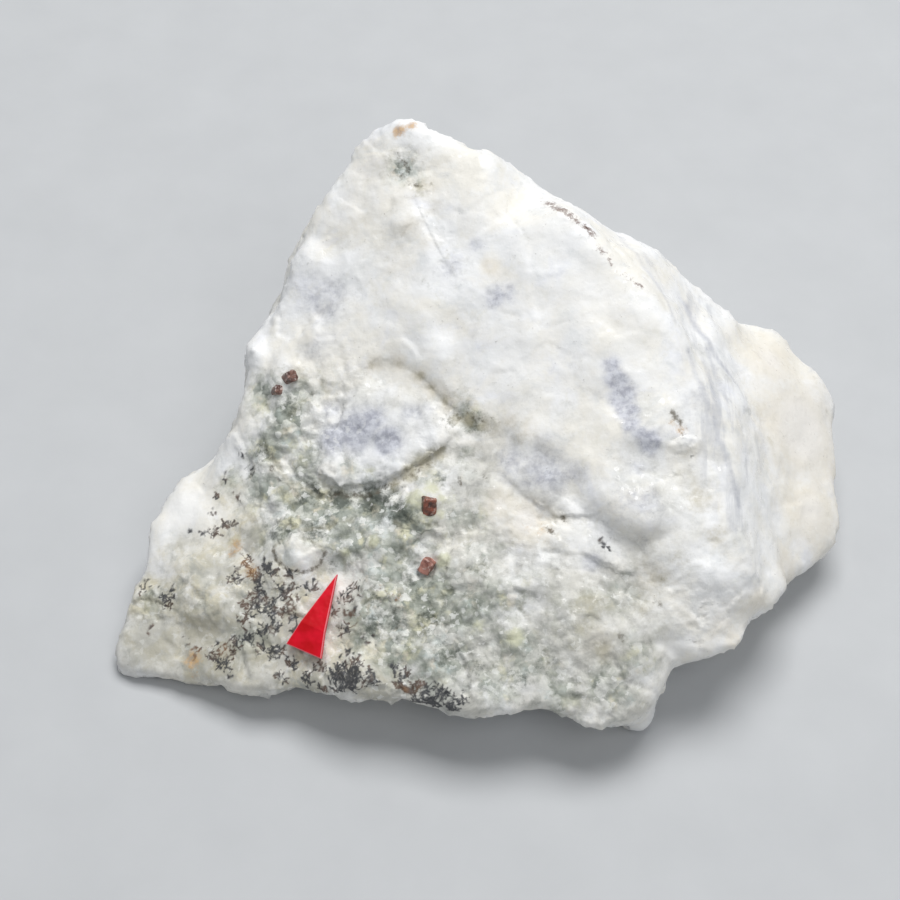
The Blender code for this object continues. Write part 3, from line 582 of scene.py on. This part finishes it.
def twig(place, degrees, length, width, depth):
    """Walk over the surface and mark the points that are passed. Side twigs leave on both sides."""
    walked = 0.0
    side = 1 if dice.random() < 0.5 else -1
    next_side = dice.uniform(0.08, 0.20)
    strength = dice.uniform(0.6, 1.0)
    while walked < length:
        place, normal, _, _ = surface.find_nearest(place)
        for _, index, gap in point_tree.find_range(place, width * 1.4):
            dendrite[index] = max(dendrite[index], strength * (1.0 - 0.6 * gap / width))
        degrees += dice.uniform(-20, 20)
        place = place + heading(normal, degrees) * TWIG_STEP
        walked += TWIG_STEP / MM
        next_side -= TWIG_STEP / MM
        if depth > 0 and next_side < 0.0:
            turned = degrees + side * dice.uniform(30, 70)
            shorter = (length - walked) * dice.uniform(0.4, 0.8)
            twig(place.copy(), turned, shorter, width * 0.85, depth - 1)
            side = -side
            next_side = dice.uniform(0.08, 0.22)


for pixels, spread, twigs, length in TUFTS:
    middle = seen_at(*pixels)
    for _ in range(2 * twigs):
        start = middle + Vector((dice.gauss(0, 0.6), dice.gauss(0, 0.6), 0.0)) * spread * MM
        degrees = dice.gauss(80, 55)
        own_length = length * dice.uniform(0.4, 1.1)
        own_width = TWIG_WIDTH * dice.uniform(0.7, 1.2)
        twig(start, degrees, own_length, own_width, 1)


# The stone's finish
# Milky feldspar, cream to cold white, with sugary green grains, blue-grey clear patches, ochre stains
# and black dendrites. Each mineral's place is an attribute, and noise frays its edges.

class Value:
    """A node's output, or what is worked out from it. Sums on it add the nodes that do them."""

    def __init__(self, finish, socket):
        self.finish = finish
        self.socket = socket

    def sum(self, operation, *numbers):
        return self.finish.node("ShaderNodeMath", {"operation": operation}, dict(enumerate(numbers)))

    def __add__(self, other):
        return self.sum("ADD", self, other)

    def __sub__(self, other):
        return self.sum("SUBTRACT", self, other)

    def __rsub__(self, other):
        return self.sum("SUBTRACT", other, self)

    def __mul__(self, other):
        return self.sum("MULTIPLY", self, other)

    __radd__ = __add__
    __rmul__ = __mul__

    def between(self, low, high):
        """0 below low, 1 above high, and a soft rise from one to the other."""
        return self.finish.node("ShaderNodeMapRange", {"interpolation_type": "SMOOTHSTEP"},
                                {"Value": self, "From Min": low, "From Max": high})


class Finish:
    """A material in the making, whose nodes are added by sums and by name."""

    def __init__(self, name, **constants):
        self.material = bpy.data.materials.new(name)
        self.material.use_nodes = True
        self.nodes = self.material.node_tree.nodes
        self.links = self.material.node_tree.links
        self.shader = self.nodes["Principled BSDF"]
        for socket, value in constants.items():
            self.shader.inputs[socket.replace("_", " ")].default_value = value
        self.place = self.node("ShaderNodeTexCoord", output="Object")

    def node(self, kind, settings=None, inputs=None, output=0):
        made = self.nodes.new(kind)
        for setting, value in (settings or {}).items():
            setattr(made, setting, value)
        for socket, value in (inputs or {}).items():
            self.feed(made.inputs[socket], value)
        return Value(self, made.outputs[output])

    def feed(self, socket, value):
        if isinstance(value, Value):
            self.links.new(value.socket, socket)
        elif socket.type == "RGBA":
            socket.default_value = (*value, 1.0)
        else:
            socket.default_value = value

    def mask(self, name):
        return self.node("ShaderNodeAttribute", {"attribute_name": name}, output="Fac")

    def clouds(self, size, detail=4.0, roughness=0.55, warp=0.0, place=None, output=0):
        """Cloudy noise whose features are about this many millimetres across."""
        inputs = {"Vector": place or self.place, "Scale": 1.0 / (size * MM), "Detail": detail,
                  "Roughness": roughness, "Distortion": warp}
        return self.node("ShaderNodeTexNoise", {}, inputs, output)

    def warped(self, size, amount):
        """The place, pushed about by up to half this many millimetres."""
        push = self.clouds(size, 3.0, output="Color")
        return self.node("ShaderNodeVectorMath", {"operation": "MULTIPLY_ADD"},
                         {0: push, 1: (amount * MM,) * 3, 2: self.place})

    def grains(self, size, place):
        """Grains about this many millimetres across: how far the middle is, and a number for each."""
        inward = self.node("ShaderNodeTexVoronoi", {}, {"Vector": place, "Scale": 1.0 / (size * MM)})
        paint = Value(self, inward.socket.node.outputs["Color"])
        return inward, self.node("ShaderNodeSeparateColor", {}, {"Color": paint})

    def mix(self, share, first, second):
        """First where share is 0 and second where it is 1."""
        return self.node("ShaderNodeMix", {"data_type": "RGBA"}, {0: share, 6: first, 7: second}, 2)

    def bump(self, height):
        """The normal for a height in millimetres."""
        return self.node("ShaderNodeBump", {}, {"Height": height, "Distance": MM, "Strength": 1.0})


rock = Finish("broken feldspar", Roughness=0.6, IOR=1.5)
fray = rock.clouds(1.3, 6.0, 0.7) - 0.5
fine_fray = rock.clouds(0.35, 4.0, 0.7) - 0.5
jagged = rock.warped(0.5, 0.55)
rough_mask = rock.mask("rough")

# The feldspar itself is cream, with cold white, greyish, bluish, yellowish and whiter clouds.
cold = rock.clouds(5.0, 4.0, 0.6, 0.4).between(0.36, 0.62)
color = rock.mix(cold, (0.88, 0.85, 0.78), (0.90, 0.90, 0.90))
greyish = rock.clouds(2.2, 6.0, 0.65, 0.8).between(0.50, 0.74)
color = rock.mix(greyish * 0.55, color, (0.68, 0.70, 0.71))
bluish = rock.clouds(3.1, 5.0, 0.6, 0.5).between(0.55, 0.75)
color = rock.mix(bluish * 0.4, color, (0.74, 0.76, 0.86))
yellowish = rock.clouds(1.5, 6.0, 0.7, 0.4).between(0.55, 0.72)
color = rock.mix(yellowish * 0.35, color, (0.76, 0.73, 0.62))
whitish = rock.clouds(0.9, 5.0, 0.65).between(0.52, 0.72)
color = rock.mix(whitish * 0.5, color, (0.94, 0.94, 0.93))

# Its greyer stretches, partly grey stone and partly painted shade on the low front, the foot and beside
# cracks, and its warmer and whiter stretches.
grey = (rock.mask("grey") + fray * 0.9).between(0.05, 0.80)
grey_clouds = rock.clouds(1.4, 5.0, 0.65, 0.6).between(0.35, 0.65)
grey_color = rock.mix(grey_clouds, (0.36, 0.355, 0.32), (0.65, 0.64, 0.585))
color = rock.mix(grey * 0.85, color, grey_color)
warm = (rock.mask("warm") + fray * 0.9).between(0.15, 0.85)
color = rock.mix(warm * 0.65, color, (0.78, 0.72, 0.61))
lobe = rock.mask("warm").between(0.75, 0.95)
color = rock.mix(lobe * 0.7, color, (0.86, 0.83, 0.79))
# Whiter: partly white stone, partly painted light where the shape shades a dent at the lower right.
white = (rock.mask("white") + fray * 0.9).between(0.2, 0.9)
color = rock.mix(white * 0.9, color, (0.94, 0.93, 0.91))

# The low foot is yellowish, with grey patches and pale flecks, and greyer where the grey zone lies,
# which is partly painted shade.
foot = (rock.mask("foot") + fray * 0.5).between(0.2, 0.7)
foot_pale = rock.clouds(1.5, 5.0, 0.65, 0.5).between(0.40, 0.60)
foot_color = rock.mix(foot_pale, (0.68, 0.62, 0.45), (0.84, 0.81, 0.73))
foot_patches = rock.clouds(1.8, 6.0, 0.7, 0.6).between(0.46, 0.66)
foot_color = rock.mix(foot_patches * 0.85, foot_color, (0.36, 0.37, 0.33))
foot_flecks = rock.clouds(0.8, 4.0, 0.6).between(0.58, 0.70)
foot_color = rock.mix(foot_flecks * 0.8, foot_color, (0.92, 0.91, 0.88))
foot_color = rock.mix(grey * 0.65, foot_color, (0.40, 0.395, 0.35))
color = rock.mix(foot * 0.9, color, foot_color)

# Clear grains look blue-grey, because the eye sees into them.
blue = (rock.mask("blue") + fray * 0.9).between(0.10, 0.75)
blue_pale = rock.clouds(0.6, 5.0, 0.65).between(0.35, 0.62)
blue_color = rock.mix(blue_pale, (0.35, 0.36, 0.43), (0.64, 0.655, 0.72))
color = rock.mix(blue * 0.85, color, blue_color)

# The green mineral is sugary: each grain has its own tone, and dark seams run between them.
green = (rock.mask("green") + fray * 1.3).between(0.10, 0.80)
inward, tint = rock.grains(0.80, jagged)
grain_color = rock.mix(tint.between(0.1, 0.6), (0.29, 0.32, 0.275), (0.53, 0.55, 0.47))
grain_color = rock.mix(tint.between(0.55, 0.9), grain_color, (0.82, 0.82, 0.77))
patches = rock.clouds(1.6, 4.0, 0.6)
grain_color = rock.mix(patches.between(0.52, 0.64) * 0.75, grain_color, (0.68, 0.65, 0.42))
grain_color = rock.mix((1.0 - patches).between(0.55, 0.68) * 0.65, grain_color, (0.46, 0.54, 0.53))
warm_specks = rock.clouds(1.1, 3.0).between(0.56, 0.68)
grain_color = rock.mix(warm_specks * 0.55, grain_color, (0.80, 0.70, 0.56))
shade = rock.clouds(2.4, 5.0, 0.65, 0.5)
grain_color = rock.mix(shade.between(0.46, 0.64) * 0.7, grain_color, (0.24, 0.26, 0.20))
seams = inward.between(0.35, 0.80) * rock.clouds(0.8, 3.0, 0.6).between(0.40, 0.60)
grain_color = rock.mix(seams * 0.85, grain_color, (0.13, 0.15, 0.12))
color = rock.mix(green * 0.9, color, grain_color)
# Darker green: partly the dark mineral, partly painted shade under the lip of a ledge and in hollows.
dark_green = (rock.mask("dark_green") + fine_fray * 1.7 + fray * 0.6).between(0.22, 0.90)
color = rock.mix(dark_green * 0.85, color, (0.075, 0.09, 0.072))

# Painted glints as pale flecks, olive films, and single pale or clear grains.
painted_glints = rock.grains(0.33, jagged)[1].between(0.88, 0.93)
color = rock.mix(painted_glints * (rough_mask * 0.40 + 0.15), color, (0.92, 0.92, 0.89))
# Olive: partly olive films, partly painted shade in a band under the lip of a ledge, along a crease and
# in a hollow.
olive = (rock.mask("olive") + fray * 0.9 + fine_fray * 0.5).between(0.15, 0.85)
color = rock.mix(olive * 0.75, color, (0.44, 0.40, 0.28))

pale_grain = (rock.mask("pale_grain") + fine_fray * 0.8).between(0.28, 0.80)
color = rock.mix(pale_grain * 0.75, color, (0.60, 0.60, 0.42))
clear_grain = (rock.mask("clear_grain") + fine_fray * 0.6).between(0.4, 0.7)
clear_color = rock.mix(rock.clouds(0.9).between(0.4, 0.6), (0.55, 0.57, 0.55), (0.88, 0.89, 0.88))
color = rock.mix(clear_grain * 0.75, color, clear_color)

# The right side has long grey-blue stripes and veins: the noise is stretched along them.
along = rock.node("ShaderNodeVectorMath", {"operation": "MULTIPLY"},
                  {0: rock.place, 1: (1.0, 0.10, 0.35)})
stripes = rock.clouds(0.9, 5.0, 0.6, place=along)
striped = rock.mask("striped").between(0.15, 0.7) * stripes.between(0.46, 0.62)
color = rock.mix(striped * 0.60, color, (0.56, 0.57, 0.60))
vein = (rock.mask("vein") + fine_fray * 0.7).between(0.1, 1.1) * stripes.between(0.25, 0.45)
color = rock.mix(vein * 0.75, color, (0.42, 0.435, 0.49))

# Painted shade along cracks, brown films, stains, dirt in pits with painted shade in hollows, and last
# the dendrites with the soot round them.
# Painted shade along the cracks and edges of the break, as a fine dark line.
crease = (rock.mask("crease") + fine_fray * 0.8).between(0.05, 1.1)
color = rock.mix(crease * 0.75, color, (0.36, 0.34, 0.26))
brown = (rock.mask("brown") + fine_fray * 2.6).between(0.45, 1.0)
color = rock.mix(brown * 0.80, color, (0.19, 0.12, 0.10))
ochre = (rock.mask("ochre") + fine_fray * 1.3).between(0.25, 0.95)
ochre_color = rock.mix(fine_fray.between(-0.1, 0.1), (0.36, 0.20, 0.09), (0.62, 0.38, 0.16))
color = rock.mix(ochre * 0.80, color, ochre_color)
# Dark dirt in pits and cracks, and painted shade in hollows and under the lip of a ledge.
dirt_and_shade = (rock.mask("dirt_and_shade") + fine_fray * 1.8).between(0.25, 0.95)
color = rock.mix(dirt_and_shade * 0.85, color, (0.12, 0.10, 0.07))
soot = (rock.mask("tuft") + fray * 0.8).between(0.25, 1.0)
color = rock.mix(soot * 0.55, color, (0.26, 0.24, 0.20))
moss = (rock.mask("dendrite") + fine_fray * 0.8).between(0.10, 0.70)
rusty = rock.clouds(1.5, 3.0).between(0.46, 0.62)
moss_color = rock.mix(rusty, (0.028, 0.030, 0.038), (0.105, 0.060, 0.040))
moss_color = rock.mix(rock.mask("ochre").between(0.05, 0.5), moss_color, (0.19, 0.095, 0.04))
color = rock.mix(moss * 0.92, color, moss_color)

rock.feed(rock.shader.inputs["Base Color"], color)
glint = rock.grains(0.3, rock.place)[1].between(0.82, 0.95)
rock.feed(rock.shader.inputs["Roughness"], 0.62 - glint * 0.36 - blue * 0.12)
height = rock.clouds(1.4, 3.0, 0.5) * 0.08
height = height + rock.clouds(0.25, 4.0, 0.7) * (0.015 + rough_mask * 0.06)
height = height + rock.mask("green") * inward * -0.09
rock.feed(rock.shader.inputs["Normal"], rock.bump(height))

mesh = bpy.data.meshes.new("stone")
stone.to_mesh(mesh)
places = places_of(stone)
marks = {name: zone_strength(places, spots) for name, spots in ZONES.items()}
for name, lines in {"dirt_and_shade": DIRT_AND_SHADE, "vein": VEINS, "crease": CREASES, "brown": BROWN}.items():
    marks[name] = line_strength(places, lines)
marks["dendrite"] = dendrite
marks["tuft"] = zone_strength(places, [(pixels, 0.5 * (spread + length), 0.05 * twigs)
                                       for pixels, spread, twigs, length in TUFTS])
for name, strength in marks.items():
    attribute = mesh.attributes.new(name, "FLOAT", "POINT")
    attribute.data.foreach_set("value", strength.astype(np.float32))
mesh.shade_smooth()
mesh.materials.append(rock.material)
stone_piece = bpy.data.objects.new("stone", mesh)
bpy.context.scene.collection.objects.link(stone_piece)
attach(stone_piece, "root")
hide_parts("matrix")


# The crystals
# Tausonite grows as small dark red-brown cubes with cut corners, held by the rock they grew in. Each
# is its solid with edges worn round and uneven faces, and has ember-red lights and pale painted glints.

# How each crystal is coloured: its body, its lights and its share of pale painted glints.
CRYSTAL_COLORS = {
    "tausonite_centre": ((0.065, 0.024, 0.016), (0.30, 0.090, 0.050), 0.5),
    "tausonite_front": ((0.220, 0.080, 0.060), (0.50, 0.230, 0.180), 1.0),
    "tausonite_left": ((0.080, 0.036, 0.028), (0.24, 0.120, 0.090), 0.6),
    "tausonite_left_small": ((0.100, 0.046, 0.036), (0.28, 0.150, 0.110), 0.6),
}


def tausonite(name, body, light, painted_glints):
    crystal = Finish(name, Roughness=0.22, IOR=1.75)
    ember = crystal.mix(crystal.clouds(0.5, 3.0).between(0.35, 0.65), body, light)
    # Pale flecks on the crystal are painted glints.
    glint_spots = crystal.clouds(0.3, 4.0, 0.6).between(0.58, 0.66)
    ember = crystal.mix(glint_spots * painted_glints, ember, (0.68, 0.50, 0.44))
    crystal.feed(crystal.shader.inputs["Base Color"], ember)
    crystal.feed(crystal.shader.inputs["Roughness"], crystal.clouds(0.3, 3.0) * 0.4 + 0.05)
    crystal.feed(crystal.shader.inputs["Normal"], crystal.bump(crystal.clouds(0.3, 3.0) * 0.08))
    return crystal.material


CRYSTAL_SWELL = 0.02 * MM
CRYSTAL_SPLITS = 3
CRYSTAL_SMOOTHING = 6
CRYSTAL_WEAR = 0.06 * MM
WEAR_SIZE = 0.35 * MM
WEAR_SEED = 5
noise.seed_set(WEAR_SEED)
for node in CRYSTALS:
    gem = solid_of(node)
    for vert in gem.verts:
        vert.co += vert.normal * CRYSTAL_SWELL
    for _ in range(CRYSTAL_SPLITS):
        bmesh.ops.subdivide_edges(gem, edges=gem.edges, cuts=1, use_grid_fill=True)
    smoothed(gem, CRYSTAL_SMOOTHING)
    for vert in gem.verts:
        vert.co += noise.noise_vector(vert.co / WEAR_SIZE) * CRYSTAL_WEAR
    bmesh.ops.triangulate(gem, faces=gem.faces)
    gem_mesh = bpy.data.meshes.new(node + "_crystal")
    gem.to_mesh(gem_mesh)
    gem.free()
    gem_mesh.shade_smooth()
    gem_mesh.materials.append(tausonite(node, *CRYSTAL_COLORS[node]))
    gem_piece = bpy.data.objects.new(node + "_crystal", gem_mesh)
    bpy.context.scene.collection.objects.link(gem_piece)
    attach(gem_piece, "root")
    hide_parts(node)


# The marker
# A sliver cut from red plastic film, creased near its wide end and stuck on the stone. Its cut edges
# are rounded over and coloured pale pink, a painted highlight.

film = Finish("red film", Roughness=0.38, IOR=1.38)
film.feed(film.shader.inputs["Base Color"],
          film.mix(film.clouds(1.4, 3.0).between(0.3, 0.7), (0.55, 0.001, 0.006), (0.76, 0.004, 0.022)))
film.feed(film.shader.inputs["Normal"], film.bump(film.clouds(1.1, 2.0) * 0.10))
# Pale pink on the cut edges, a painted highlight.
edge_highlight = Finish("red film, painted edge highlight", Roughness=0.5, Base_Color=(0.80, 0.16, 0.19, 1.0))

EDGE_ROUNDING = 0.07 * MM
FLAT_ANGLE = radians(1)
SHARP_ANGLE = radians(40)
sliver = solid_of("marker")
bmesh.ops.dissolve_limit(sliver, angle_limit=FLAT_ANGLE, verts=sliver.verts, edges=sliver.edges)
sharp = [edge for edge in sliver.edges if edge.calc_face_angle(0) > SHARP_ANGLE]
bmesh.ops.bevel(sliver, geom=sharp, offset=EDGE_ROUNDING, affect="EDGES", segments=2, profile=0.5,
                material=1)
bmesh.ops.triangulate(sliver, faces=sliver.faces)
sliver_mesh = bpy.data.meshes.new("sliver")
sliver.to_mesh(sliver_mesh)
sliver.free()
sliver_mesh.materials.append(film.material)
sliver_mesh.materials.append(edge_highlight.material)
sliver_piece = bpy.data.objects.new("sliver", sliver_mesh)
bpy.context.scene.collection.objects.link(sliver_piece)
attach(sliver_piece, "root")
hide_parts("marker")


# The table and the light
# A plain pale table, one broad lamp above and behind the stone, and a weaker one in front of it, to
# the right. The room round them gives a little even light.

FLOOR_HALF = 400 * MM
table = bmesh.new()
bmesh.ops.create_grid(table, x_segments=8, y_segments=8, size=FLOOR_HALF)
table_mesh = bpy.data.meshes.new("table")
table.to_mesh(table_mesh)
table.free()
cloth = Finish("pale table", Roughness=0.85)
cloth.feed(cloth.shader.inputs["Base Color"],
           cloth.mix(cloth.clouds(6.0, 4.0), (0.50, 0.51, 0.52), (0.56, 0.57, 0.58)))
table_mesh.materials.append(cloth.material)
table_piece = bpy.data.objects.new("table", table_mesh)
bpy.context.scene.collection.objects.link(table_piece)


def lamp(name, place, size, power):
    """A square lamp of this many metres and watts, turned to the stone."""
    light = bpy.data.lights.new(name, "AREA")
    light.size = size
    light.energy = power
    holder = bpy.data.objects.new(name, light)
    holder.location = place
    holder.rotation_euler = (VIEW_TARGET - Vector(place)).to_track_quat("-Z", "Y").to_euler()
    bpy.context.scene.collection.objects.link(holder)


lamp("window", place=(0.05, 0.15, 0.44), size=0.28, power=1.95)
lamp("front", place=(0.15, -0.30, 0.40), size=0.30, power=0.48)
room = bpy.data.worlds.new("room")
room.use_nodes = True
room_light = room.node_tree.nodes["Background"]
room_light.inputs["Color"].default_value = (0.90, 0.95, 1.0, 1.0)
room_light.inputs["Strength"].default_value = 0.26
bpy.context.scene.world = room
bpy.context.scene.view_settings.view_transform = "Standard"
